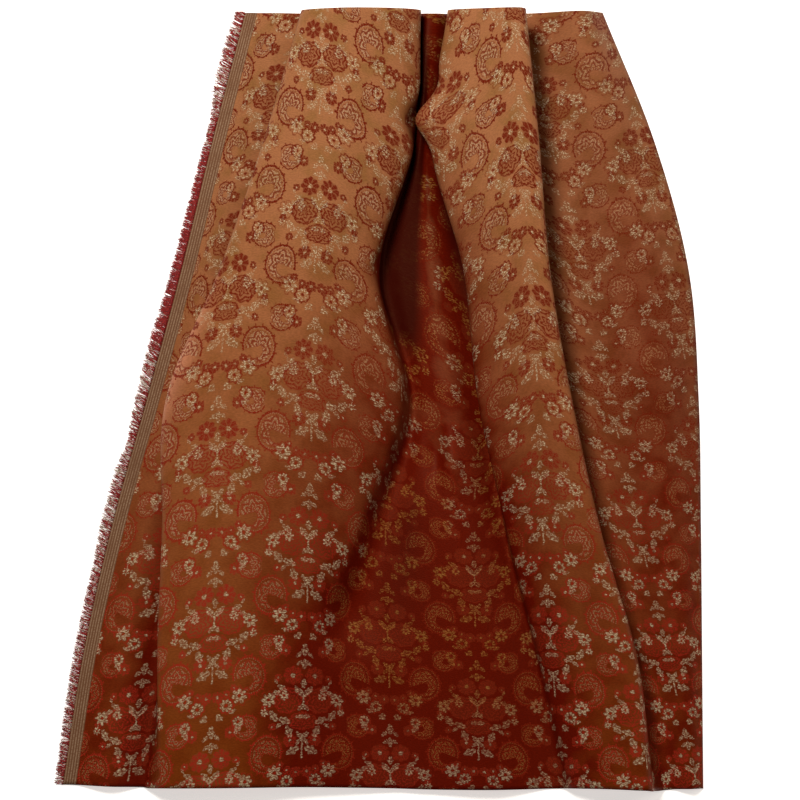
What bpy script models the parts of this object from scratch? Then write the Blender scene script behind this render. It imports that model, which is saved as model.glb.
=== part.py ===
"""A cut length of floral brocade with its selvedge fringe, lying on a flat surface in soft folds.

Metres, +Z up, +Y towards the gathered end. The cloth is one sheet. Its folds run lengthwise: a table
says how far across and how high each fold line lies at seven stations, and the surface is a smooth
loft through them. A tuck line lies hidden under the pleat beside it.
"""

from collections import namedtuple

import bmesh
import bpy
import numpy as np
from mathutils import Vector

# Driving dimensions in metres
MM = 0.001
CLOTH_LENGTH = 0.698
CLOTH_THICKNESS = 0.0015
EDGE_WAVE = 0.0012
SKEW_AT_FOOT = 0.0035
FLOOR_BLEND = 0.008

SECTION_STEPS = 3
ROW_COUNT = 29

FRINGE_GAP = 0.0003
FRINGE_BACKING = 0.0024
FRINGE_THICKNESS = 0.0010
LOCK_COUNT = 150
LOCK_LENGTH = 0.0082
LOCK_ROOT_SHARE = 0.72
LOCK_TIP_SHARE = 0.38
LOCK_LEAN = 0.35

Fold = namedtuple("Fold", "name across_mm height_mm")

# One row for each fold line, from the selvedge to the cut side. The seven stations are evenly
# spaced from the gathered end to the foot. Across is measured from the middle of the cloth.
FOLDS = (
    Fold("selvedge_edge", (-141, -171, -199, -230, -262, -288, -306), (0, 0, 0, 0, 0, 0, 0)),
    Fold("selvedge_inner", (-129, -158, -186, -217, -249, -275, -293), (0, 0, 0, 0, 0, 0, 0)),
    Fold("left_flap", (-104, -137, -171, -196, -229, -248, -263), (8, 7, 6, 5, 6, 7, 8)),
    Fold("left_tuck_low", (-31, -81, -129, -189, -203, -218, -232), (0, 0, 0, 0, 0, 0, 0)),
    Fold("left_tuck_turn", (-20, -70, -120, -180, -196, -215, -228), (7, 7, 7, 6, 5, 4, 3)),
    Fold("left_tuck_high", (-34, -86, -134, -193, -205, -216, -223), (14, 14, 13, 12, 11, 9, 8)),
    Fold("left_crest_edge", (-88, -122, -162, -210, -213, -217, -213), (38, 38, 36, 31, 28, 23, 17)),
    Fold("left_pleat_crest", (-52, -65, -88, -119, -135, -144, -148), (58, 57, 54, 49, 43, 33, 22)),
    Fold("left_pleat_shoulder", (-2, -9, -45, -23, -63, -99, -97), (50, 48, 46, 41, 35, 27, 14)),
    Fold("crease_edge", (18, 12, -22, -1, -41, -78, -50), (36, 34, 34, 30, 27, 22, 9)),
    Fold("crease_foot", (15, 13, -16, 12, -18, -43, -4), (9, 12, 2, 2, 2, 5, 5)),
    Fold("inner_mound_left", (24, 18, 2, 22, 9, 0, 27), (20, 17, 6, 7, 9, 8, 6)),
    Fold("inner_mound", (33, 24, 29, 45, 56, 79, 86), (20, 14, 9, 13, 18, 16, 10)),
    Fold("right_foot", (47, 47, 63, 79, 94, 122, 146), (8, 0, 0, 0, 0, 0, 0)),
    Fold("right_pleat_edge", (44, 28, 58, 71, 98, 129, 157), (36, 35, 31, 26, 16, 12, 10)),
    Fold("right_pleat_face", (77, 72, 92, 108, 137, 169, 189), (50, 49, 46, 41, 33, 28, 23)),
    Fold("right_crest", (107, 119, 129, 148, 173, 206, 219), (60, 58, 55, 50, 45, 40, 34)),
    Fold("right_crest_turn", (112, 124, 134, 154, 180, 213, 226), (52, 50, 47, 43, 38, 33, 29)),
    Fold("right_tuck_high", (88, 101, 115, 137, 169, 209, 230), (14, 14, 14, 13, 12, 12, 13)),
    Fold("right_tuck_turn", (61, 81, 97, 124, 160, 207, 234), (7, 7, 7, 7, 6, 6, 6)),
    Fold("right_tuck_low", (72, 90, 106, 133, 171, 216, 240), (0, 0, 0, 0, 0, 0, 0)),
    Fold("right_valley", (123, 134, 147, 167, 193, 227, 248), (8, 6, 4, 3, 2, 1, 1)),
    Fold("right_panel_crest", (162, 189, 216, 230, 241, 254, 263), (24, 24, 22, 19, 15, 11, 7)),
    Fold("right_edge", (183, 230, 261, 270, 272, 273, 274), (0, 0, 0, 0, 0, 0, 0)),
)

Pinch = namedtuple("Pinch", "across_mm down_mm reach_mm along_mm lift_mm pull_mm")

# Small local shapes on top of the lengthwise folds. Each lifts the cloth and pulls its raised parts
# sideways round one place, fading out over its reach.
PINCHES = (
    Pinch(across_mm=30, down_mm=98, reach_mm=22, along_mm=17, lift_mm=1, pull_mm=-14),
    Pinch(across_mm=42, down_mm=66, reach_mm=16, along_mm=14, lift_mm=0, pull_mm=5),
    Pinch(across_mm=-20, down_mm=229, reach_mm=15, along_mm=14, lift_mm=3, pull_mm=-4),
    Pinch(across_mm=34, down_mm=396, reach_mm=8, along_mm=24, lift_mm=-6, pull_mm=0),
    Pinch(across_mm=46, down_mm=404, reach_mm=9, along_mm=24, lift_mm=4, pull_mm=0),
    Pinch(across_mm=-50, down_mm=540, reach_mm=26, along_mm=24, lift_mm=-6, pull_mm=0),
    Pinch(across_mm=-44, down_mm=588, reach_mm=34, along_mm=20, lift_mm=4, pull_mm=0),
    Pinch(across_mm=205, down_mm=150, reach_mm=30, along_mm=34, lift_mm=-4, pull_mm=0),
    Pinch(across_mm=222, down_mm=330, reach_mm=30, along_mm=30, lift_mm=4, pull_mm=0),
)

COLOURS = {
    "brocade": (0.36, 0.12, 0.035, 1.0),
    "weft_fringe": (0.45, 0.03, 0.03, 1.0),
}


def clear_scene():
    for item in list(bpy.data.objects):
        bpy.data.objects.remove(item)


def make_material(name, roughness):
    material = bpy.data.materials.new(name)
    material.use_nodes = True
    shader = material.node_tree.nodes["Principled BSDF"]
    shader.inputs["Base Color"].default_value = COLOURS[name]
    shader.inputs["Roughness"].default_value = roughness
    shader.inputs["Metallic"].default_value = 0.0
    return material


def smooth_between(values, at):
    """Reads evenly spaced station values at a place from 0 to 1, on a Catmull-Rom curve."""
    values = np.asarray(values, float)
    place = np.clip(at, 0.0, 1.0) * (len(values) - 1)
    first = min(int(place), len(values) - 2)
    share = place - first
    before = values[first - 1] if first else 2 * values[0] - values[1]
    after = values[first + 2] if first + 2 < len(values) else 2 * values[-1] - values[-2]
    start, end = values[first], values[first + 1]
    slope_in, slope_out = (end - before) / 2, (after - start) / 2
    square, cube = share**2, share**3
    return (
        (2 * cube - 3 * square + 1) * start
        + (cube - 2 * square + share) * slope_in
        + (3 * square - 2 * cube) * end
        + (cube - square) * slope_out
    )


def curve_through(points, steps):
    """A centripetal Catmull-Rom curve through the points, with this many steps to each stretch."""
    padded = np.vstack([2 * points[0] - points[1], points, 2 * points[-1] - points[-2]])
    gaps = np.linalg.norm(np.diff(padded, axis=0), axis=1) ** 0.5
    knots = np.concatenate([[0.0], np.cumsum(gaps)])
    a, b, c, d = (padded[k : len(padded) - 3 + k, None, :] for k in range(4))
    ka, kb, kc, kd = (knots[k : len(knots) - 3 + k, None, None] for k in range(4))
    t = kb + (kc - kb) * np.linspace(0.0, 1.0, steps, endpoint=False)[None, :, None]
    ab = a + (b - a) * (t - ka) / (kb - ka)
    bc = b + (c - b) * (t - kb) / (kc - kb)
    cd = c + (d - c) * (t - kc) / (kd - kc)
    abc = ab + (bc - ab) * (t - ka) / (kc - ka)
    bcd = bc + (cd - bc) * (t - kb) / (kd - kb)
    found = abc + (bcd - abc) * (t - kb) / (kc - kb)
    return np.vstack([found.reshape(-1, 2), points[-1]])


def section(down):
    """The cloth's section at a share of its length from the gathered end: across and height."""
    points = [
        (smooth_between(fold.across_mm, down), max(smooth_between(fold.height_mm, down), 0.0))
        for fold in FOLDS
    ]
    line = curve_through(MM * np.array(points), SECTION_STEPS)
    line[:, 1] = np.maximum(line[:, 1], 0.0)
    return pinched(line, down * CLOTH_LENGTH)


def pinched(line, down):
    """The section with the small local shapes added, the parts that lie on the floor left there."""
    x, z = line[:, 0].copy(), line[:, 1].copy()
    off_floor = np.clip(z / FLOOR_BLEND, 0.0, 1.0)
    raised = np.clip((z - 18 * MM) / (14 * MM), 0.0, 1.0)
    for pinch in PINCHES:
        off = ((line[:, 0] - pinch.across_mm * MM) / (pinch.reach_mm * MM)) ** 2
        off = off + ((down - pinch.down_mm * MM) / (pinch.along_mm * MM)) ** 2
        near = np.exp(-off)
        z += pinch.lift_mm * MM * near * off_floor
        x += pinch.pull_mm * MM * near * raised
    return np.column_stack([x, np.maximum(z, 0.0)])


def cloth_rows():
    """Rows of points on the cloth's middle surface, from the gathered end to the foot."""
    rows = []
    for down in np.linspace(0.0, 1.0, ROW_COUNT):
        line = section(down)
        along = np.linspace(0.0, 1.0, len(line))
        wave = EDGE_WAVE * np.sin(2 * np.pi * (3.1 * along + 0.2)) - SKEW_AT_FOOT * down * along
        y = CLOTH_LENGTH * (0.5 - down) + wave
        rows.append(np.column_stack([line[:, 0], y, line[:, 1] + CLOTH_THICKNESS / 2]))
    return rows


def link(name, mesh, material, collection):
    item = bpy.data.objects.new(name, mesh)
    mesh.materials.append(material)
    collection.objects.link(item)
    return item


def solid_sheet(name, mesh, thickness, material, collection):
    """A sheet of this thickness round an open surface, flat on the floor where it touches it."""
    item = link(name, mesh, material, collection)
    shell = item.modifiers.new("thickness", "SOLIDIFY")
    shell.thickness = thickness
    shell.offset = 0.0
    shell.use_rim = True
    made = bpy.data.meshes.new_from_object(item.evaluated_get(bpy.context.evaluated_depsgraph_get()))
    item.modifiers.clear()
    item.data = made
    for vertex in made.vertices:
        if vertex.co.z < 0.2 * thickness:
            vertex.co.z = 0.0
    made.shade_smooth()
    return item


def surface_mesh(name, rows):
    mesh = bpy.data.meshes.new(name)
    build = bmesh.new()
    grid = [[build.verts.new(point) for point in row] for row in rows]
    for upper, lower in zip(grid, grid[1:]):
        for k in range(len(upper) - 1):
            build.faces.new((upper[k], lower[k], lower[k + 1], upper[k + 1]))
    build.to_mesh(mesh)
    build.free()
    return mesh


def lock_reach(share):
    """How far a lock of cut weft stands out along the selvedge, from 0 to 1: long, worn, folded, long."""
    worn = np.exp(-(((share - 0.27) / 0.13) ** 2))
    short = 0.5 * np.exp(-(((share - 0.56) / 0.04) ** 2))
    return 1.0 - 0.55 * worn - short


def fringe_mesh(edge):
    """A flat comb beside the selvedge: a narrow backing strip, and one leaning lock to each pitch."""
    seeded = np.random.default_rng(7)
    along = np.concatenate([[0.0], np.cumsum(np.linalg.norm(np.diff(edge, axis=0), axis=1))])
    pitch = along[-1] / LOCK_COUNT

    def on_edge(distance):
        return Vector([float(np.interp(distance, along, edge[:, k])) for k in range(2)] + [0.0])

    def outward(distance):
        ahead = on_edge(min(distance + pitch, along[-1])) - on_edge(max(distance - pitch, 0.0))
        return Vector((ahead.y, -ahead.x, 0.0)).normalized()

    mesh = bpy.data.meshes.new("selvedge_fringe")
    build = bmesh.new()
    level = Vector((0.0, 0.0, FRINGE_THICKNESS / 2))
    edges_in, edges_out = [], []
    for k in range(LOCK_COUNT):
        middle = (k + 0.5) * pitch
        for side in (-0.5, 0.5):
            distance = middle + side * LOCK_ROOT_SHARE * pitch
            base = on_edge(distance) + level
            edges_in.append(build.verts.new(base + outward(distance) * FRINGE_GAP))
            edges_out.append(build.verts.new(base + outward(distance) * (FRINGE_GAP + FRINGE_BACKING)))
    for k in range(len(edges_in) - 1):
        build.faces.new((edges_in[k], edges_in[k + 1], edges_out[k + 1], edges_out[k]))
    for k in range(LOCK_COUNT):
        middle = (k + 0.5) * pitch
        out = outward(middle)
        down = Vector((-out.y, out.x, 0.0))
        reach = LOCK_LENGTH * lock_reach(middle / along[-1]) * seeded.uniform(0.8, 1.0)
        lean = LOCK_LEAN * reach * (seeded.uniform(-0.6, 0.6) + 0.8 * np.sin(k * 0.21))
        root = on_edge(middle) + level + out * (FRINGE_GAP + FRINGE_BACKING)
        tips = [
            build.verts.new(root + out * reach + down * (lean + side * LOCK_TIP_SHARE * pitch))
            for side in (-0.5, 0.5)
        ]
        build.faces.new((edges_out[2 * k], edges_out[2 * k + 1], tips[1], tips[0]))
    build.to_mesh(mesh)
    build.free()
    return mesh


def centre_on_origin(items):
    """Moves the part so that the middle of its box's underside is the origin."""
    corners = np.array([vertex.co for item in items for vertex in item.data.vertices])
    low, high = corners.min(axis=0), corners.max(axis=0)
    for item in items:
        for vertex in item.data.vertices:
            vertex.co.x -= (low[0] + high[0]) / 2
            vertex.co.y -= (low[1] + high[1]) / 2
            vertex.co.z -= low[2]


def main():
    clear_scene()
    collection = bpy.data.collections.new("brocade_cloth_length")
    bpy.context.scene.collection.children.link(collection)
    rows = cloth_rows()
    cloth = solid_sheet(
        "brocade_cloth", surface_mesh("brocade_cloth", rows), CLOTH_THICKNESS,
        make_material("brocade", 0.45), collection,
    )
    edge = np.array([row[0] for row in rows])
    fringe = solid_sheet(
        "selvedge_fringe", fringe_mesh(edge), FRINGE_THICKNESS,
        make_material("weft_fringe", 0.8), collection,
    )
    centre_on_origin([cloth, fringe])


main()
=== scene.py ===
import math
import random

import bmesh
import bpy
import numpy as np
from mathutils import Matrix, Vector, noise


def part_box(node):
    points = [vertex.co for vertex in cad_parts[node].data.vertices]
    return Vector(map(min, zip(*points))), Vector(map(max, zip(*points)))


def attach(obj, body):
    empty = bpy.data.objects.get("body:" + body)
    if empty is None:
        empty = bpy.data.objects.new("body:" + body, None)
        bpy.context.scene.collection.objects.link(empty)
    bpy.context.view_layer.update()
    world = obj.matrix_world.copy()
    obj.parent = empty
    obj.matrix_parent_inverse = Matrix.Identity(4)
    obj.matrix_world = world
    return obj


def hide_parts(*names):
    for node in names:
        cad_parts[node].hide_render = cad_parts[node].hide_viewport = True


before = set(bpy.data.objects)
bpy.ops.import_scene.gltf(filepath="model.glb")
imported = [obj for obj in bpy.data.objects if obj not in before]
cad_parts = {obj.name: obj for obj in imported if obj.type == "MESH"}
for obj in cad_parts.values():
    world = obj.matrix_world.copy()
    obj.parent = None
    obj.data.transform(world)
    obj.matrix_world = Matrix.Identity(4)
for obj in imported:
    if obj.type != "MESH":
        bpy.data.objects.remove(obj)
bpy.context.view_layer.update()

millimetre = 0.001


# Shader sums written as ordinary expressions
class Wire:
    def __init__(self, graph, socket):
        self.graph = graph
        self.socket = socket

    def __add__(self, other):
        return self.graph.math("ADD", self, other)

    def __radd__(self, other):
        return self.graph.math("ADD", other, self)

    def __sub__(self, other):
        return self.graph.math("SUBTRACT", self, other)

    def __rsub__(self, other):
        return self.graph.math("SUBTRACT", other, self)

    def __mul__(self, other):
        return self.graph.math("MULTIPLY", self, other)

    def __rmul__(self, other):
        return self.graph.math("MULTIPLY", other, self)

    def __gt__(self, other):
        return self.graph.math("GREATER_THAN", self, other)

    def __lt__(self, other):
        return self.graph.math("LESS_THAN", self, other)

    def __abs__(self):
        return self.graph.math("ABSOLUTE", self)


class Graph:
    def __init__(self, name, roughness=0.5):
        self.material = bpy.data.materials.new(name)
        self.material.use_nodes = True
        self.tree = self.material.node_tree
        self.shader = self.tree.nodes["Principled BSDF"]
        self.shader.inputs["Roughness"].default_value = roughness

    def add(self, kind, settings=None, inputs=None, output=0):
        node = self.tree.nodes.new("ShaderNode" + kind)
        for key, value in (settings or {}).items():
            if key == "points":  # a float curve's own points
                curve = node.mapping.curves[0]
                curve.points[0].location = value[0]
                curve.points[1].location = value[-1]
                for point in value[1:-1]:
                    curve.points.new(*point)
                node.mapping.update()
            else:
                setattr(node, key, value)
        for key, value in (inputs or {}).items():
            if isinstance(value, Wire):
                self.tree.links.new(value.socket, node.inputs[key])
            else:
                node.inputs[key].default_value = value
        return Wire(self, node.outputs[output])

    def math(self, operation, *values):
        return self.add("Math", {"operation": operation}, dict(enumerate(values)))

    def vector(self, operation, *values, output=0):
        return self.add("VectorMath", {"operation": operation}, dict(enumerate(values)), output)

    def cosine(self, value):
        return self.math("COSINE", value)

    def capped(self, value):
        return self.math("MINIMUM", value, 1.0)

    def ramp(self, value, low, high, atLow=0.0, atHigh=1.0):
        return self.add("MapRange", {"interpolation_type": "SMOOTHSTEP"}, {
            "Value": value, "From Min": low, "From Max": high, "To Min": atLow, "To Max": atHigh})

    def below(self, value, limit, soft):  # 1 under the limit, 0 over it, with a soft step
        return self.ramp(value, limit + soft, limit - soft)

    def line(self, value, middle, half, soft):  # 1 near the middle
        return self.below(abs(value - middle), half, soft)

    def curve(self, value, points):
        return self.add("FloatCurve", {"points": points}, {"Value": value})

    def mix(self, share, first, second):
        return self.add("Mix", {"data_type": "RGBA"}, {0: share, 6: first, 7: second}, 2)

    def mixVector(self, share, first, second):
        return self.add("Mix", {"data_type": "VECTOR"}, {0: share, 4: first, 5: second}, 1)

    def parts(self, vector):
        x = self.add("SeparateXYZ", None, {0: vector})
        return x, Wire(self, x.socket.node.outputs["Y"])

    def join(self, x, y):
        return self.add("CombineXYZ", None, {"X": x, "Y": y})

    def noise(self, place, scale, detail=2.0, output=0):
        return self.add("TexNoise", {"noise_dimensions": "3D"}, {
            "Vector": place, "Scale": scale, "Detail": detail}, output)

    def finish(self, colour, roughness=None, height=None, lift=0.0, strength=0.5):  # lift in metres
        self.tree.links.new(colour.socket, self.shader.inputs["Base Color"])
        if roughness is not None:
            self.tree.links.new(roughness.socket, self.shader.inputs["Roughness"])
        if height is not None:
            bump = self.add("Bump", None, {"Height": height, "Distance": lift, "Strength": strength})
            self.tree.links.new(bump.socket, self.shader.inputs["Normal"])
        return self.material


# The cloth's folds, the same lines as on the solid. Across and height in millimetres at seven
# stations from the gathered end to the foot.
cloth = {
    "length": 0.698,
    "thickness": 0.0008,
    "edgeWaveHeight": 0.0012,
    "edgeWaveCount": 3.1,
    "edgeWaveStart": 0.2,
    "skewAtFoot": 0.0035,
    "floorBlend": 0.008,
    "rows": 180,
    "stepsPerFold": 9,
    "flatSize": (0.71, 0.70),
    "folds": {
        "selvedgeEdge": ((-141, -171, -199, -230, -262, -288, -306), (0, 0, 0, 0, 0, 0, 0)),
        "selvedgeInner": ((-129, -158, -186, -217, -249, -275, -293), (0, 0, 0, 0, 0, 0, 0)),
        "leftFlap": ((-104, -137, -171, -196, -229, -248, -263), (8, 7, 6, 5, 6, 7, 8)),
        "leftTuckLow": ((-31, -81, -129, -189, -203, -218, -232), (0, 0, 0, 0, 0, 0, 0)),
        "leftTuckTurn": ((-20, -70, -120, -180, -196, -215, -228), (7, 7, 7, 6, 5, 4, 3)),
        "leftTuckHigh": ((-34, -86, -134, -193, -205, -216, -223), (14, 14, 13, 12, 11, 9, 8)),
        "leftCrestEdge": ((-88, -122, -162, -210, -213, -217, -213), (38, 38, 36, 31, 28, 23, 17)),
        "leftPleatCrest": ((-52, -65, -88, -119, -135, -144, -148), (58, 57, 54, 49, 43, 33, 22)),
        "leftPleatShoulder": ((-2, -9, -45, -23, -63, -99, -97), (50, 48, 46, 41, 35, 27, 14)),
        "creaseEdge": ((18, 12, -22, -1, -41, -78, -50), (36, 34, 34, 30, 27, 22, 9)),
        "creaseFoot": ((15, 13, -16, 12, -18, -43, -4), (9, 12, 2, 2, 2, 5, 5)),
        "innerMoundLeft": ((24, 18, 2, 22, 9, 0, 27), (20, 17, 6, 7, 9, 8, 6)),
        "innerMound": ((33, 24, 29, 45, 56, 79, 86), (20, 14, 9, 13, 18, 16, 10)),
        "rightFoot": ((47, 47, 63, 79, 94, 122, 146), (8, 0, 0, 0, 0, 0, 0)),
        "rightPleatEdge": ((44, 28, 58, 71, 98, 129, 157), (36, 35, 31, 26, 16, 12, 10)),
        "rightPleatFace": ((77, 72, 92, 108, 137, 169, 189), (50, 49, 46, 41, 33, 28, 23)),
        "rightCrest": ((107, 119, 129, 148, 173, 206, 219), (60, 58, 55, 50, 45, 40, 34)),
        "rightCrestTurn": ((112, 124, 134, 154, 180, 213, 226), (52, 50, 47, 43, 38, 33, 29)),
        "rightTuckHigh": ((88, 101, 115, 137, 169, 209, 230), (14, 14, 14, 13, 12, 12, 13)),
        "rightTuckTurn": ((61, 81, 97, 124, 160, 207, 234), (7, 7, 7, 7, 6, 6, 6)),
        "rightTuckLow": ((72, 90, 106, 133, 171, 216, 240), (0, 0, 0, 0, 0, 0, 0)),
        "rightValley": ((123, 134, 147, 167, 193, 227, 248), (8, 6, 4, 3, 2, 1, 1)),
        "rightPanelCrest": ((162, 189, 216, 230, 241, 254, 263), (24, 24, 22, 19, 15, 11, 7)),
        "rightEdge": ((183, 230, 261, 270, 272, 273, 274), (0, 0, 0, 0, 0, 0, 0)),
    },
    "pullFrom": 0.018,
    "pullOver": 0.014,
    # places where the cloth is pinched or dented: across, down from the gathered end, reach across,
    # reach along, lift and sideways pull, in millimetres
    "pinches": (
        (30, 98, 22, 17, 1, -14),
        (42, 66, 16, 14, 0, 5),
        (-20, 229, 15, 14, 3, -4),
        (34, 396, 8, 24, -6, 0),
        (46, 404, 9, 24, 4, 0),
        (-50, 540, 26, 24, -6, 0),
        (-44, 588, 34, 20, 4, 0),
        (205, 150, 30, 34, -4, 0),
        (222, 330, 30, 30, 4, 0),
    ),
    "rippleHeight": 0.00035,
    "rippleFromFloor": 0.006,
    # waves to a metre across and along, place in the noise, and share of the height
    "ripples": ((55, 7, 3.1, 1.0), (120, 16, 7.7, 0.6), (26, 24, 11.3, 0.9)),
}

# Where the woven pattern lies on the cloth, in pattern units of 0.9 mm at the same seven stations.
# "across" is the distance from the selvedge at some fold lines, and "along" the distance down the
# cloth at some of those distances. "shelter" sets the painted shade, darker and redder: 0 is open cloth,
# 1 is low in a fold, from 1.15 it becomes a painted crease shadow, and under -0.75 a painted highlight of a
# lit rim.
weave = {
    "unitsPerUv": 100.0,
    "across": {
        "selvedgeEdge": (0, 0, 0, 0, 0, 0, 0),
        "selvedgeInner": (14, 14, 14, 14, 14, 14, 14),
        "leftFlap": (50, 48, 46, 40, 40, 48, 49),
        "leftCrestEdge": (221, 182, 146, 105, 103, 104, 113),
        "creaseEdge": (377, 363, 318, 342, 301, 262, 298),
        "rightPleatEdge": (441, 421, 457, 468, 493, 520, 542),
        "rightCrest": (537, 544, 546, 558, 583, 612, 616),
        "rightValley": (734, 713, 693, 687, 685, 694, 688),
        "rightEdge": (795, 825, 834, 816, 793, 758, 724),
    },
    "along": {
        68: (-154, -12, 131, 265, 395, 526, 658),
        160.5: (-105, 30, 164.5, 292, 419.5, 547, 673),
        253: (-110, 25, 159, 286, 414, 547, 683),
        438: (-160, -40, 85, 202, 367, 532, 689),
        530.5: (-123, 5, 135.5, 264.5, 393.5, 531, 668),
        715.5: (-256, -108, 41, 197, 360, 526, 688),
        808: (-226, -81, 65, 211, 370, 534, 695),
    },
    "shelter": {
        "selvedgeInner": (0, 0, 0, 0.1, 0.3, 0.5, 0.5),
        "leftFlap": (0, 0.1, 0.15, 0.2, 0.3, 0.42, 0.5),
        "leftTuckLow": (0.5, 0.5, 0.6, 0.6, 0.8, 0.9, 1),
        "leftTuckHigh": (0.3, 0.3, 0.3, 0.3, 0.4, 0.5, 0.5),
        "leftCrestEdge": (-0.2, -0.4, -0.9, -1.08, -0.4, 0, 0),
        "leftPleatCrest": (0, 0, 0, 0.1, 0.16, 0.12, 0.08),
        "leftPleatShoulder": (0, 0, 0.15, 0.75, 0.55, 0.6, 0.7),
        "creaseEdge": (0.4, 0.4, 0.5, 0.75, 0.7, 0.85, 1),
        "creaseFoot": (1.4, 2, 2.2, 1.0, 1.22, 1.1, 0.85),
        "innerMoundLeft": (1.4, 2.2, 2.3, 1.0, 1.42, 1.2, 0.85),
        "innerMound": (1.25, 1.05, 0.85, 0.92, 0.98, 1.15, 0.85),
        "rightFoot": (1.4, 2.4, 1.8, 1.25, 1.2, 1.1, 1),
        "rightPleatEdge": (0.1, 0.4, 0.75, 0.9, 0.95, 0.9, 0.8),
        "rightPleatFace": (0, 0, 0.2, 0.35, 0.35, 0.35, 0.4),
        "rightCrest": (0, 0, 0, 0.1, 0.2, 0.3, 0.3),
        "rightTuckLow": (0.45, 0.35, 0.3, 0.3, 0.35, 0.5, 0.6),
        "rightPanelCrest": (0.3, 0.45, 0.8, 0.85, 0.75, 0.6, 0.5),
        "rightEdge": (0.25, 0.3, 0.4, 0.6, 0.6, 0.5, 0.4),
    },
}


# Shares of the seven stations at each place down the cloth, on a Catmull-Rom curve
def stationShares(places, count):
    shares = np.zeros((len(places), count + 2))
    for row, place in enumerate(np.clip(places, 0.0, 1.0) * (count - 1)):
        first = min(int(place), count - 2)
        t = place - first
        shares[row, first:first + 4] = (
            -0.5 * t + t**2 - 0.5 * t**3,
            1 - 2.5 * t**2 + 1.5 * t**3,
            0.5 * t + 2 * t**2 - 1.5 * t**3,
            -0.5 * t**2 + 0.5 * t**3,
        )
    # the stretch beyond each end goes straight on
    shares[:, 1] += 2 * shares[:, 0]
    shares[:, 2] -= shares[:, 0]
    shares[:, -2] += 2 * shares[:, -1]
    shares[:, -3] -= shares[:, -1]
    return shares[:, 1:-1]


# A centripetal curve through the points
def curveThrough(points, steps):
    padded = np.vstack([2 * points[0] - points[1], points, 2 * points[-1] - points[-2]])
    knots = np.concatenate([[0.0], np.cumsum(np.linalg.norm(np.diff(padded, axis=0), axis=1) ** 0.5)])
    a, b, c, d = (padded[k:len(padded) - 3 + k, None, :] for k in range(4))
    ka, kb, kc, kd = (knots[k:len(knots) - 3 + k, None, None] for k in range(4))
    t = kb + (kc - kb) * np.linspace(0.0, 1.0, steps, endpoint=False)[None, :, None]
    ab = a + (b - a) * (t - ka) / (kb - ka)
    bc = b + (c - b) * (t - kb) / (kc - kb)
    cd = c + (d - c) * (t - kc) / (kd - kc)
    abc = ab + (bc - ab) * (t - ka) / (kc - ka)
    bcd = bc + (cd - bc) * (t - kb) / (kd - kb)
    found = abc + (bcd - abc) * (t - kb) / (kc - kb)
    return np.vstack([found.reshape(-1, 2), points[-1]])


# A line across with its pinches and dents. Cloth on the floor stays there, and only high cloth is pulled.
def pinched(line, down):
    x, z = line[:, 0].copy(), line[:, 1].copy()
    offFloor = np.clip(z / cloth["floorBlend"], 0.0, 1.0)
    raised = np.clip((z - cloth["pullFrom"]) / cloth["pullOver"], 0.0, 1.0)
    for across, at, reach, along, lift, pull in cloth["pinches"]:
        off = ((line[:, 0] - across * millimetre) / (reach * millimetre)) ** 2
        near = np.exp(-off - ((down - at * millimetre) / (along * millimetre)) ** 2)
        z += lift * millimetre * near * offFloor
        x += pull * millimetre * near * raised
    return np.column_stack([x, np.maximum(z, 0.0)])


# Soft lengthwise ripples and small dents between the main folds
def ripple(x, y, z):
    free = min(1.0, z / cloth["rippleFromFloor"])
    rough = sum(share * noise.noise(Vector((x * across, y * along, layer)))
                for across, along, layer, share in cloth["ripples"])
    return cloth["rippleHeight"] * free * rough


# Rows of points down the cloth, with each point's place in the pattern and its shelter, the painted shade
# there
def clothGrid():
    down = np.linspace(0.0, 1.0, cloth["rows"] + 1)
    shares = stationShares(down, len(cloth["folds"]["selvedgeEdge"][0]))

    def everyRow(lines):
        return shares @ np.array(list(lines), float).T

    across = everyRow(fold[0] for fold in cloth["folds"].values())
    height = np.maximum(everyRow(fold[1] for fold in cloth["folds"].values()), 0.0)
    names = list(cloth["folds"])
    steps = cloth["stepsPerFold"]
    anchorAt = [names.index(name) * steps for name in weave["across"]]
    anchorS = everyRow(weave["across"].values())
    shelterAt = [names.index(name) * steps for name in weave["shelter"]]
    shelterHere = everyRow(weave["shelter"].values())
    columns = list(weave["along"])
    columnT = everyRow(weave["along"].values())
    points, pattern, shelter = [], [], []
    for row in range(len(down)):
        line = curveThrough(millimetre * np.column_stack([across[row], height[row]]), steps)
        line[:, 1] = np.maximum(line[:, 1], 0.0)
        line = pinched(line, down[row] * cloth["length"])
        along = np.linspace(0.0, 1.0, len(line))
        turn = cloth["edgeWaveCount"] * along + cloth["edgeWaveStart"]
        wave = cloth["edgeWaveHeight"] * np.sin(2 * np.pi * turn)
        y = cloth["length"] * (0.5 - down[row]) + wave - cloth["skewAtFoot"] * down[row] * along
        arc = np.concatenate([[0.0], np.cumsum(np.linalg.norm(np.diff(line, axis=0), axis=1))])
        s = np.interp(arc, arc[anchorAt], anchorS[row])
        points.append(np.column_stack([line[:, 0], y, line[:, 1]]))
        pattern.append(np.column_stack([s, np.interp(s, columns, columnT[row])]))
        shelter.append(np.interp(arc, arc[shelterAt], shelterHere[row]))
    return np.array(points), np.array(pattern), np.array(shelter)


def finishedObject(name, build):
    mesh = bpy.data.meshes.new(name)
    build.to_mesh(mesh)
    build.free()
    item = bpy.data.objects.new(name, mesh)
    bpy.context.scene.collection.objects.link(item)
    return item


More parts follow.
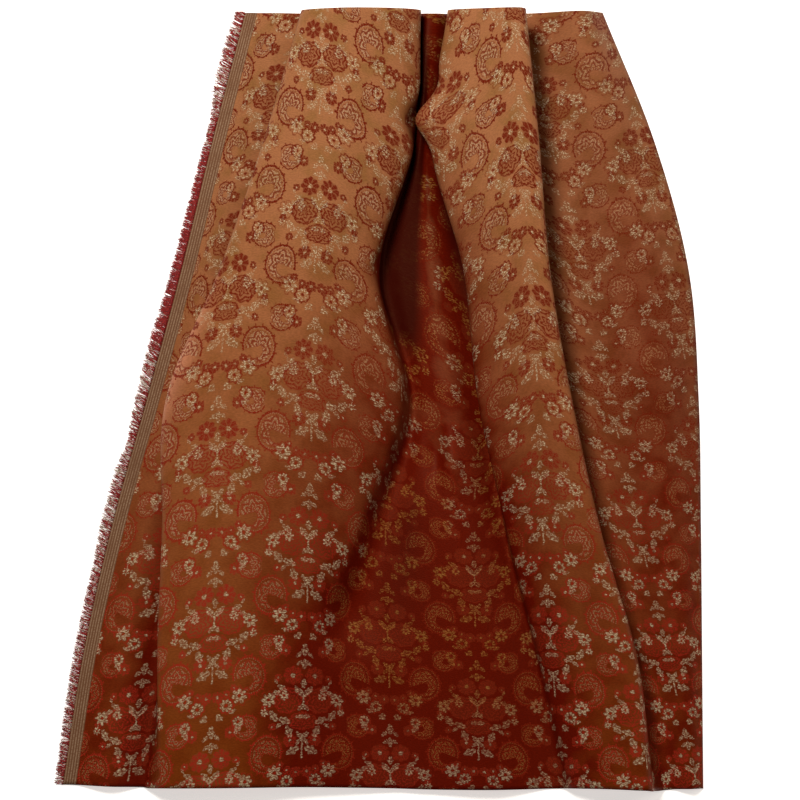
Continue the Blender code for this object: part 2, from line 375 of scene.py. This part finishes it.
def gridObject(name, points, pattern, shelter):
    build = bmesh.new()
    patternLayer = build.loops.layers.uv.new("weave")
    # the fold map holds each point's shelter, which sets the painted shade and highlight
    shelterLayer = build.loops.layers.uv.new("fold")
    verts = [[build.verts.new(point) for point in row] for row in points]
    for r in range(len(verts) - 1):
        for k in range(len(verts[0]) - 1):
            corners = ((r, k), (r + 1, k), (r + 1, k + 1), (r, k + 1))
            face = build.faces.new([verts[a][b] for a, b in corners])
            face.smooth = True
            for loop, (a, b) in zip(face.loops, corners):
                loop[patternLayer].uv = pattern[a][b] / weave["unitsPerUv"]
                loop[shelterLayer].uv = (shelter[a][b], 0.0)
    return finishedObject(name, build)


def bakeModifiers(item):
    made = bpy.data.meshes.new_from_object(item.evaluated_get(bpy.context.evaluated_depsgraph_get()))
    item.modifiers.clear()
    item.data = made


# The woven figures in one quarter of the repeat, charted in pattern units from a medallion's
# middle, with y towards the foot: across, along, radius, turn in degrees, stretch. Past "outerFrom"
# from the axis the quarter starts further down, so that its border cuts no figure.
motifs = {
    "repeat": (185.0, 163.0),
    "firstAxis": 68.0,
    "middleAboveStalk": 62.0,
    "quarterStart": -64.0,
    "outerFrom": 14.0,
    "outerShift": 22.0,
    # how many petals or marks go round a figure
    "petals": 8,
    "ringPetals": 9,
    "ragPetals": 7,
    "thorns": 15,
    "dots": 32,
    "beads": 44,
    "petalFlowers": (
        (11.0, -26, 10.6, 0, 1), (12.5, 42, 7.5, 20, 1), (19, 111, 6.5, 0, 1), (5.6, 76, 6.2, 0, 1),
        (26, -24, 4.2, 10, 1), (39, 7, 4.0, 25, 1), (31, 27, 4.4, 0, 1), (22, 67, 4.2, 15, 1),
        (14.5, 73, 4.4, 0, 1),
    ),
    "ringFlowers": ((14.5, 84.5, 8.6, 0, 1), (27, 101, 7.6, 30, 1)),
    "bigRoses": ((15.5, 0, 15.0, 10, 0.95), (0, 22, 15.5, 0, 0.64)),
    "rags": ((35.5, -1, 8.4, 0, 1), (27.5, 75, 9.0, 15, 1), (19.5, -5, 5.5, 40, 1), (39.5, 12, 4.6, 0, 1)),
    "leaves": (
        (22, -13, 6.5, -35, 1), (28, -8, 5.5, 25, 1), (28, -20, 3.2, -60, 1), (30, 16, 7.5, -55, 1.1),
        (18.5, 21, 7.5, -25, 1.1), (24, 26, 4.5, 40, 1), (14, 33, 7.5, -70, 1.1), (9.2, 53, 8.0, 25, 1.2),
        (3.8, 44, 4.6, 50, 1), (8.2, 97, 6.0, 65, 1.3), (21, 90, 4.6, -20, 1), (27, 107, 7.5, -60, 0.9),
        (0, -53, 7.0, 90, 1.1), (5.6, -48, 4.6, 45, 1), (0, -38, 6.0, 90, 1.1), (4.6, -39, 4.2, 35, 1),
        (0, -17.5, 5.5, 90, 1.2), (3.2, 37, 5.2, -55, 1), (2.6, 8, 4.8, 50, 1.2), (3.2, 17.5, 4.6, 0, 1.2),
        (4.8, -11, 6.4, -40, 0.7),
    ),
    "paisleys": ((37, 55, 17, -8, 1.2), (55.5, -26.5, -17, 8, 1.2), (35, 107.5, 13, 55, 1.05)),
    # half the width of a paisley's body at each angle round its curl
    "paisleyWidth": (
        (-180, 0.34), (-172, 0.40), (-150, 0.45), (-100, 0.47), (-40, 0.44), (10, 0.38),
        (60, 0.29), (100, 0.19), (130, 0.10), (150, 0), (170, 0), (174, 0.24), (180, 0.34),
    ),
}

# How the threads break the figures up, and where painted shade and highlight change the colours. Scales are
# per pattern unit, and the pairs are where a change starts and ends: in distance down the cloth for the
# first, else in shelter.
weaving = {
    "waver": 3.6,
    "waverScale": 0.42,
    "dashStretch": (0.42, 1.0, 0),
    "dashScale": 0.82,
    "speckScale": 0.80,
    "patchScale": 0.035,
    "lowZone": (120, 640),
    # ranges in shelter for the painted highlight on lit rims and the painted shade in folds and the crease
    "paintedRimHighlight": (-0.75, -1.25),
    "creamShadedOver": (0.50, 0.95),
    "redDims": (0.55, 1.10),
    "creamGoldInShade": (0.92, 1.15),
    "creaseDark": (1.15, 1.75),
    "paintedShadeByShelter": 0.87,
    # where the speck and dash noises cut the threads short
    "redCut": (0.42, 0.52),
    "creamCut": (0.44, 0.55),
    "paleCut": (0.48, 0.58),
    "pearlCut": (0.46, 0.54),
    "bandWidth": 14.0,
    "ribStep": 2.5,
    "roughness": (0.48, 0.75),  # on the bare ground and on the figures
    "specular": 0.12,
    "specularTint": (1.0, 0.50, 0.28, 1),
    "relief": 0.0003,
}

# Dyes and threads, with their painted shade and highlight copies, as linear colours
colours = {
    "ground": (0.300, 0.117, 0.048, 1),
    "groundGold": (0.250, 0.114, 0.036, 1),
    "groundPaintedHighlight": (0.52, 0.21, 0.12, 1),
    "groundPaintedFootShade": (0.215, 0.050, 0.0045, 1),
    "groundPaintedShade": (0.100, 0.0042, 0.0004, 1),
    "paintedCreaseShadow": (0.030, 0.0012, 0.0003, 1),
    "fill": (0.235, 0.080, 0.032, 1),
    "pearl": (0.42, 0.30, 0.19, 1),
    "pearlInPaintedShade": (0.28, 0.110, 0.030, 1),
    "red": (0.118, 0.004, 0.001, 1),
    "redLow": (0.330, 0.016, 0.009, 1),
    "redInPaintedShade": (0.150, 0.014, 0.003, 1),
    "cream": (0.60, 0.51, 0.34, 1),
    "creamDim": (0.25, 0.150, 0.075, 1),
    "gold": (0.34, 0.135, 0.015, 1),
    "band": (0.275, 0.175, 0.110, 1),
    "bandDark": (0.135, 0.060, 0.030, 1),
    "backRust": (0.20, 0.045, 0.016, 1),
    "backGold": (0.34, 0.19, 0.08, 1),
    "threadRed": (0.36, 0.010, 0.008, 1),
    "threadRedDark": (0.13, 0.004, 0.003, 1),
    "threadPale": (0.74, 0.66, 0.60, 1),
    "floor": (0.86, 0.85, 0.84, 1),
    "floorCloud": (0.83, 0.82, 0.81, 1),
}


# Of several copies of a figure, the place measured from the nearest one, and how far away it is. A
# radius under zero mirrors the figure.
def nearest(graph, place, spots):
    best = away = None
    for across, along, radius, turn, stretch in spots:
        here = graph.add("Mapping", {"vector_type": "TEXTURE"}, {
            "Vector": place, "Location": (across, along, 0), "Rotation": (0, 0, math.radians(turn)),
            "Scale": (radius, abs(radius) * stretch, 1)})
        far = graph.vector("LENGTH", here, output=1)
        if best is None:
            best, away = here, far
        else:
            best = graph.mixVector(far < away, best, here)
            away = graph.math("MINIMUM", far, away)
    return best, away


def angleOf(graph, local):
    x, y = graph.parts(local)
    return graph.math("ARCTAN2", y, x)


# The place in one quarter of the half-drop repeat
def foldedPlace(graph, s, t):
    width, depth = motifs["repeat"]
    side = abs(graph.math("WRAP", s - motifs["firstAxis"], width / 2, -width / 2))
    flip = side > width / 4
    x = side + flip * (width / 2 - 2 * side)
    start = (x > motifs["outerFrom"]) * motifs["outerShift"] + motifs["quarterStart"]
    y = graph.math("WRAP", t + motifs["middleAboveStalk"] + flip * (depth / 2), start + depth, start)
    return graph.join(x, y)


# How red, cream, filled, pearly and beaded each place is, from 0 to about 1. "away" is 1 at a
# figure's own radius.
def wovenFigures(graph, place, low):
    x, y = graph.parts(place)

    # petal flowers: red petals and a cream eye
    local, away = nearest(graph, place, motifs["petalFlowers"])
    lobe = graph.cosine(angleOf(graph, local) * motifs["petals"])
    petals = graph.below(away - 0.08 * lobe, 0.88, 0.07) * graph.ramp(lobe, -0.95, -0.35, 0.45, 0.95)
    red = petals * graph.ramp(away, 0.20, 0.30)
    cream = graph.below(away, 0.20, 0.08)
    fill = graph.below(away, 0.9, 0.08)

    # ring flowers: a scalloped red ring round a cream one
    local, away = nearest(graph, place, motifs["ringFlowers"])
    lobe = graph.cosine(angleOf(graph, local) * motifs["ringPetals"])
    gaps = graph.ramp(lobe, -0.8, -0.1, 0.25, 1.0)
    cream = cream + graph.line(away - 0.04 * lobe, 0.48, 0.19, 0.08) * gaps
    red = red + graph.line(away - 0.07 * lobe, 0.84, 0.10, 0.08) + graph.below(away, 0.18, 0.06)

    # big roses, with curling lines between the petals
    local, away = nearest(graph, place, motifs["bigRoses"])
    angle = angleOf(graph, local)
    edge = away - 0.08 * abs(graph.cosine(angle * 4))
    curl = graph.math("SINE", away * 20 + 2.4 * graph.cosine(angle * 6))
    curls = graph.ramp(curl, -0.35, 0.45) * graph.below(edge, 0.84, 0.05) * 0.95
    red = red + graph.line(edge, 0.86, 0.05, 0.05) + curls
    fill = fill + graph.below(edge, 0.88, 0.05)

    # ragged pale flowers: blunt petals with a thin red edge
    local, away = nearest(graph, place, motifs["rags"])
    angle = angleOf(graph, local)
    lobe = graph.math("POWER", abs(graph.cosine(angle * (motifs["ragPetals"] / 2))), 0.55)
    edge = away - 0.60 * lobe
    cream = cream + graph.below(edge, 0.26, 0.10) * graph.ramp(away, 0.16, 0.30)
    red = red + graph.line(edge, 0.52, 0.07, 0.06) * 0.7 + graph.below(away, 0.20, 0.06) * 0.8

    # leaves and buds, with a midrib and slanting veins
    local, away = nearest(graph, place, motifs["leaves"])
    u, v = graph.parts(local)
    thin = abs(v) - 0.46 * (1 - u * u) * (1 + 0.22 * graph.cosine(u * 9))
    veins = graph.ramp(graph.cosine(u * 9 - abs(v) * 8), -0.8, 0.0, 0.45, 1.0)
    midrib = graph.ramp(abs(v), 0.02, 0.12, 0.35, 1.0)
    cream = cream + graph.below(thin + 0.05 * low, 0.0, 0.07) * veins * midrib

    # stems on the axis, and the open bell over them
    stem = graph.below(x, 0.75, 0.5)
    onStem = graph.line(y, -1.0, 6.5, 0.8) + graph.line(y, 49.0, 13.0, 0.8)
    bell = graph.line(y + 0.85 * x, -3.2, 1.3, 0.5) * graph.below(x, 8.8, 0.5) * graph.ramp(y, -14, -12)
    cream = cream + stem * onStem + bell

    # paisleys: a thorned outline, a beaded border, a line of dots, and a curled and speckled body
    local, away = nearest(graph, place, motifs["paisleys"])
    angle = angleOf(graph, local)
    turned = 0.5 + angle * (0.5 / math.pi)
    wide = graph.curve(turned, [((a + 180) / 360, w) for a, w in motifs["paisleyWidth"]])
    edge = abs(away - (0.94 - wide)) - wide
    there = wide > 0.012
    body = graph.below(away, 0.74, 0.03) * graph.below(edge, -0.02, 0.03) * there
    dots = graph.ramp(graph.cosine(angle * motifs["dots"]), -0.4, 0.4) * graph.line(away, 0.77, 0.025, 0.02)
    thorns = graph.ramp(graph.cosine(angle * motifs["thorns"]), 0.72, 0.92)
    thorns = thorns * graph.line(away, 1.02, 0.09, 0.03)
    scrolls = graph.ramp(graph.math("SINE", away * 23 + 2.6 * graph.cosine(angle * 6)), -0.4, 0.4)
    outline = graph.line(away, 0.94, 0.055, 0.03) + thorns + 0.75 * dots
    red = red + there * (outline + 0.55 * graph.line(edge, 0.0, 0.04, 0.03)) + 0.85 * body * scrolls
    pearl = body * 0.62 - 0.40 * body * scrolls
    beads = there * graph.ramp(graph.cosine(angle * motifs["beads"]), -0.2, 0.5)
    beads = beads * graph.line(away, 0.875, 0.02, 0.025)
    fill = fill + there * graph.line(away, 0.84, 0.06, 0.03) * 0.4
    return red, cream, fill, pearl, beads


def brocadeFace():
    graph = Graph("brocadeFace")
    units = weave["unitsPerUv"]
    plain = graph.vector("MULTIPLY", graph.add("UVMap", {"uv_map": "weave"}), (units, units, 0))
    s, t = graph.parts(plain)
    # painted shade and highlight per point, from the fold map
    sheltered = graph.parts(graph.add("UVMap", {"uv_map": "fold"}))[0]
    # low rises towards the foot: the figures waver less there, and the red and cream are recoloured for the
    # dimmer light at the foot, which is painted shade
    low = graph.ramp(t, *weaving["lowZone"])

    # threads: the outlines waver, and the floats break into short dashes across the cloth
    waver = graph.vector("SUBTRACT", graph.noise(plain, weaving["waverScale"], 1.0, 1), (0.5, 0.5, 0))
    loose = weaving["waver"] - low
    shifted = graph.vector("MULTIPLY", waver, graph.join(loose, loose))
    place = graph.vector("ADD", foldedPlace(graph, s, t), shifted)
    dash = graph.noise(graph.vector("MULTIPLY", plain, weaving["dashStretch"]), weaving["dashScale"], 1.0)
    speck = graph.noise(plain, weaving["speckScale"], 1.0)
    red, cream, fill, pearl, beads = wovenFigures(graph, place, low)

    # painted shade on the ground: darker and redder low in the folds and towards the foot, with soft patches
    # of random tone
    patch = graph.noise(plain, weaving["patchScale"], 2.0)
    ground = graph.mix(graph.ramp(patch, 0.42, 0.74), colours["ground"], colours["groundGold"])
    ground = graph.mix(graph.ramp(t, -60, 760), ground, colours["groundPaintedFootShade"])
    # painted highlight: salmon ground where the shelter is below zero
    ground = graph.mix(graph.ramp(sheltered, *weaving["paintedRimHighlight"]), ground, colours["groundPaintedHighlight"])
    paintedShadeAndMottle = graph.ramp(t, 0, 760, 0.0, 0.40) + graph.ramp(patch, 0.30, 0.70, -0.10, 0.12)
    paintedShadeAndMottle = paintedShadeAndMottle + graph.math("MAXIMUM", sheltered, 0.0) * weaving["paintedShadeByShelter"]
    paintedShadeAndMottle = graph.capped(graph.math("MAXIMUM", paintedShadeAndMottle, 0.0))
    ground = graph.mix(paintedShadeAndMottle, ground, colours["groundPaintedShade"])
    shade = 1.0 + graph.ramp(dash, 0.30, 0.70, -0.10, 0.12)
    ground = graph.add("Mix", {"data_type": "RGBA", "blend_type": "MULTIPLY"}, {
        0: 1.0, 6: ground, 7: graph.add("CombineColor", None, {0: shade, 1: shade, 2: shade})}, 2)

    # the figures' threads over it: fills, pearly bodies, red and cream, fading or taking painted shade
    # colours where painted shade falls
    fillNow = graph.capped(fill) * graph.ramp(paintedShadeAndMottle, 0.0, 0.60, 0.62, 0.06)
    pearlNow = pearl * graph.ramp(speck, *weaving["pearlCut"]) + beads * 0.6
    redThinInShade, full = 0.75 - 1.20 * paintedShadeAndMottle, 1.0 - 0.20 * paintedShadeAndMottle  # the red is thinner where the painted shade is strong
    redNow = graph.capped(red) * graph.ramp(speck, *weaving["redCut"], redThinInShade, full)
    creamNow = graph.capped(cream) * graph.ramp(dash, *weaving["creamCut"], 0.02 + 0.18 * low, 0.95)
    creamNow = creamNow * (0.88 + 0.07 * low) * graph.ramp(sheltered, *weaving["creamShadedOver"], 1.0, 0.62)
    redTone = graph.mix(low, colours["red"], colours["redLow"])
    # painted shade: in shelter the red takes its shaded copy
    redTone = graph.mix(graph.ramp(sheltered, *weaving["redDims"], 0.0, 0.8), redTone, colours["redInPaintedShade"])
    bright = graph.ramp(speck, *weaving["paleCut"], 0.35 * low, 1.0)
    pale = graph.mix(bright, colours["creamDim"], colours["cream"])
    # painted shade: in shelter the cream turns gold
    pale = graph.mix(graph.ramp(sheltered, *weaving["creamGoldInShade"], 0.0, 0.9), pale, colours["gold"])
    face = graph.mix(fillNow, ground, colours["fill"])
    face = graph.mix(pearlNow, face, graph.mix(paintedShadeAndMottle, colours["pearl"], colours["pearlInPaintedShade"]))
    face = graph.mix(redNow, face, redTone)
    face = graph.mix(creamNow, face, pale)

    # the selvedge band, with ribs along it, and the painted crease shadow over all
    rib = graph.ramp(graph.cosine(s * (2 * math.pi / weaving["ribStep"])), -0.5, 0.7)
    rib = rib * graph.ramp(dash, 0.35, 0.6, 0.35, 1.0) * graph.ramp(patch, 0.30, 0.60, 0.55, 1.0)
    band = graph.mix(rib, colours["bandDark"], colours["band"])
    face = graph.mix(graph.below(s, weaving["bandWidth"], 0.4), face, band)
    face = graph.mix(graph.ramp(sheltered, *weaving["creaseDark"], 0.0, 0.96), face, colours["paintedCreaseShadow"])

    sheen = graph.ramp(creamNow + redNow, 0.0, 1.0, *weaving["roughness"])
    graph.shader.inputs["Specular IOR Level"].default_value = weaving["specular"]
    graph.shader.inputs["Specular Tint"].default_value = weaving["specularTint"]
    return graph.finish(face, sheen, dash, weaving["relief"])


# The underside: long loose floats of gold over rust, with scales as above
underside = {
    "floatStretch": (0.12, 1.0, 0),
    "floatScale": 0.9,
    "cloudScale": 0.05,
    "roughness": 0.7,
}


def brocadeBack():
    graph = Graph("brocadeBack", underside["roughness"])
    units = weave["unitsPerUv"]
    plain = graph.vector("MULTIPLY", graph.add("UVMap", {"uv_map": "weave"}), (units, units, 0))
    long = graph.vector("MULTIPLY", plain, underside["floatStretch"])
    floats = graph.noise(long, underside["floatScale"], 2.0)
    cloud = graph.noise(plain, underside["cloudScale"], 2.0)
    share = graph.ramp(floats, 0.40, 0.62) * graph.ramp(cloud, 0.35, 0.65, 0.3, 1.0)
    back = graph.mix(share, colours["backRust"], colours["backGold"])
    return graph.finish(back, None, floats, weaving["relief"])


# Cut weft threads along the selvedge. Stretches: share down the cloth, length in millimetres, threads
# to a centimetre, share of pale threads, flare towards the gathered end. Other lengths are in metres.
fringe = {
    "stretches": (
        (0.00, 8, 40, 0.20, 0.25), (0.05, 11, 44, 0.25, 0.35), (0.10, 11, 44, 0.35, 0.25),
        (0.14, 6, 44, 0.20, 0.1), (0.22, 7, 56, 0.03, 0.0), (0.38, 9, 60, 0.02, 0.1),
        (0.42, 11, 56, 0.06, 0.3), (0.47, 11, 44, 0.40, 0.5), (0.53, 9, 44, 0.35, 0.3),
        (0.56, 6, 46, 0.20, 0.1), (0.60, 10, 44, 0.40, 0.1), (0.68, 10, 44, 0.40, 0.4),
        (0.72, 8, 44, 0.30, 0.3), (0.85, 8, 44, 0.30, 0.2), (1.00, 7, 44, 0.25, 0.1),
    ),
    "lengthSpread": (0.60, 1.05),
    "gapSpread": (0.6, 1.4),
    "scatter": 0.14,
    "clumpLean": 0.45,
    "clumpBend": 0.3,
    "clumpsPerMetre": 260,
    "rootHeight": (0.00015, 0.0009),
    "floorGap": 0.0002,
    "arch": 0.0006,
    "archTurn": 3.0,
    "pastTop": 0.001,
    "edgeProbe": 0.004,
    "radius": 0.00030,
    "root": 0.0012,
    "tipShare": 0.5,
    "sides": 3,
    "steps": 5,
    "seed": 11,
    "twistScale": 900.0,
    "relief": 0.0002,
    "roughness": 0.65,
}


def threadMaterial(name, dark, bright):
    graph = Graph(name, fringe["roughness"])
    place = graph.add("TexCoord", None, None, 3)
    streak = graph.noise(place, fringe["twistScale"], 1.0)
    twist = graph.mix(graph.ramp(streak, 0.35, 0.65), dark, bright)
    return graph.finish(twist, None, streak, fringe["relief"], 0.4)


def fringeObject(edge):
    dice = random.Random(fringe["seed"])
    along = np.concatenate([[0.0], np.cumsum(np.linalg.norm(np.diff(edge[:, :2], axis=0), axis=1))])
    table = np.array(fringe["stretches"])
    last = fringe["steps"]
    build = bmesh.new()

    def onEdge(distance):
        return Vector([np.interp(distance, along, edge[:, k]) for k in range(2)] + [0.0])

    distance = 0.0
    while distance < along[-1]:
        share = distance / along[-1]
        reach, density, pale, flare = (np.interp(share, table[:, 0], table[:, k]) for k in range(1, 5))
        base = onEdge(distance)
        down = (onEdge(distance + fringe["edgeProbe"]) - onEdge(distance - fringe["edgeProbe"])).normalized()
        out = Vector((down.y, -down.x, 0.0))
        length = reach * millimetre * dice.uniform(*fringe["lengthSpread"])
        clump = noise.noise(Vector((distance * fringe["clumpsPerMetre"], 5.0, 0.0)))
        lean = -flare + fringe["clumpLean"] * clump + dice.gauss(0.0, fringe["scatter"])
        bend = dice.gauss(0.0, fringe["scatter"]) + fringe["clumpBend"] * clump
        height = dice.uniform(*fringe["rootHeight"])

        # the thread's middle line, from under the cloth's edge out to its tip near the floor
        points = []
        for step in range(last + 1):
            part = step / last
            go = out * (part * length) + down * (lean * part * length + bend * part * part * length)
            arch = fringe["arch"] * math.sin(part * fringe["archTurn"]) * dice.random()
            rise = height * (1.0 - part) + fringe["floorGap"] + arch
            point = base - out * fringe["root"] * (1 - part) + go + Vector((0, 0, rise))
            points.append(Vector((point.x, min(point.y, edge[0, 1] + fringe["pastTop"]), point.z)))
        slot = 1 if dice.random() < pale else 0

        # a closed tube round it, thinner at the tip
        rings = []
        for step, point in enumerate(points):
            tangent = (points[min(step + 1, last)] - points[max(step - 1, 0)]).normalized()
            side = tangent.cross(Vector((0, 0, 1))).normalized()
            top = side.cross(tangent)
            thick = fringe["radius"] * (1.0 if step < last else fringe["tipShare"])
            ring = []
            for k in range(fringe["sides"]):
                angle = 2 * math.pi * k / fringe["sides"] + 0.5
                corner = point + (side * math.cos(angle) + top * math.sin(angle)) * thick
                ring.append(build.verts.new(corner))
            rings.append(ring)
        for first, second in zip(rings, rings[1:]):
            for k in range(fringe["sides"]):
                after = (k + 1) % fringe["sides"]
                face = build.faces.new((first[k], first[after], second[after], second[k]))
                face.material_index = slot
                face.smooth = True
        for ring in (list(reversed(rings[0])), rings[-1]):
            build.faces.new(ring).material_index = slot
        distance += 0.01 / density * dice.uniform(*fringe["gapSpread"])
    bmesh.ops.recalc_face_normals(build, faces=build.faces)
    return finishedObject("selvedgeThreads", build)


# The camera looks straight down, from "distance" over cloth 20 mm high
view = {
    "distance": 4.0,
    "metresAcross": 0.72,
    "clothHeight": 0.02,
    "sensor": 36.0,
    "clipEnd": 20.0,
}

light = {
    "key": {
        "at": (-0.42, 1.00, 1.65), "aim": (0.0, 0.05, 0.0), "size": 0.50, "power": 39.5,
        "colour": (1.0, 0.95, 0.88),
    },
    "fill": {
        "at": (1.10, 0.35, 1.00), "aim": (0.0, 0.0, 0.0), "size": 0.80, "power": 5,
        "colour": (1.0, 0.86, 0.74),
    },
    "sky": 0.06,
    "skyColour": (1.0, 0.72, 0.50, 1),
    "floorGlow": 0.60,
    "floorGlowColour": (1.0, 0.99, 0.98, 1),
    "floorReach": 3.0,
    "floorDrop": 0.0002,
    "floorRoughness": 0.8,
    "floorCloudScale": 3.0,
}


def lamp(name, at, aim, size, power, colour):
    data = bpy.data.lights.new(name, "AREA")
    data.size = size
    data.energy = power
    data.color = colour
    item = bpy.data.objects.new(name, data)
    item.location = at
    item.rotation_euler = (Vector(aim) - Vector(at)).to_track_quat("-Z", "Y").to_euler()
    bpy.context.scene.collection.objects.link(item)


def studio(shift):
    scene = bpy.context.scene
    camera = bpy.data.objects.new("camera", bpy.data.cameras.new("camera"))
    camera.data.sensor_width = view["sensor"]
    camera.data.lens = view["sensor"] * view["distance"] / view["metresAcross"]
    camera.data.clip_end = view["clipEnd"]
    camera.location = (shift[0], shift[1], view["distance"] + view["clothHeight"])
    scene.collection.objects.link(camera)
    scene.camera = camera
    for name in ("key", "fill"):
        lamp(name, **light[name])
    world = bpy.data.worlds.new("studio")
    world.use_nodes = True
    world.node_tree.nodes["Background"].inputs["Color"].default_value = light["skyColour"]
    world.node_tree.nodes["Background"].inputs["Strength"].default_value = light["sky"]
    scene.world = world
    scene.view_settings.view_transform = "Standard"
    graph = Graph("floor", light["floorRoughness"])
    graph.shader.inputs["Emission Color"].default_value = light["floorGlowColour"]
    graph.shader.inputs["Emission Strength"].default_value = light["floorGlow"]
    cloud = graph.noise(graph.add("TexCoord", None, None, 3), light["floorCloudScale"], 2.0)
    build = bmesh.new()
    bmesh.ops.create_grid(build, x_segments=2, y_segments=2, size=light["floorReach"])
    floor = finishedObject("floor", build)
    floor.data.materials.append(graph.finish(
        graph.mix(graph.ramp(cloud, 0.3, 0.7), colours["floor"], colours["floorCloud"])))
    floor.location = (0, 0, -light["floorDrop"])


def main():
    points, pattern, shelter = clothGrid()

    # the table's middle isn't the frame's, so the grid is moved to the solid's far corner
    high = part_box("brocade_cloth")[1]
    shift = (high[0] - points[:, :, 0].max(), high[1] - points[:, :, 1].max())
    points[:, :, 0] += shift[0]
    points[:, :, 1] += shift[1]
    for row in points:
        for point in row:
            point[2] += ripple(*point)
    points[:, :, 2] = np.maximum(points[:, :, 2], 0.0) + cloth["thickness"] / 2
    print("folds laid out:", points.shape[0], "rows of", points.shape[1], "points")

    sheet = gridObject("brocadeCloth", points, pattern, shelter)
    sheet.data.materials.append(brocadeFace())
    sheet.data.materials.append(brocadeBack())
    shell = sheet.modifiers.new("thickness", "SOLIDIFY")
    shell.thickness = cloth["thickness"]
    shell.offset = 0.0
    shell.material_offset = 1
    shell.material_offset_rim = 0
    bakeModifiers(sheet)
    for vertex in sheet.data.vertices:
        vertex.co.z = max(vertex.co.z, 0.0)
    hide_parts("brocade_cloth")
    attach(sheet, "root")
    print("cloth made:", len(sheet.data.polygons), "faces")

    threads = fringeObject(points[:, 0])
    twists = ("fringeRed", "threadRedDark", "threadRed"), ("fringePale", "creamDim", "threadPale")
    for name, dark, bright in twists:
        threads.data.materials.append(threadMaterial(name, colours[dark], colours[bright]))
    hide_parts("selvedge_fringe")
    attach(threads, "root")
    print("fringe made:", len(threads.data.polygons), "faces")

    studio(shift)
    print("studio set")


main()
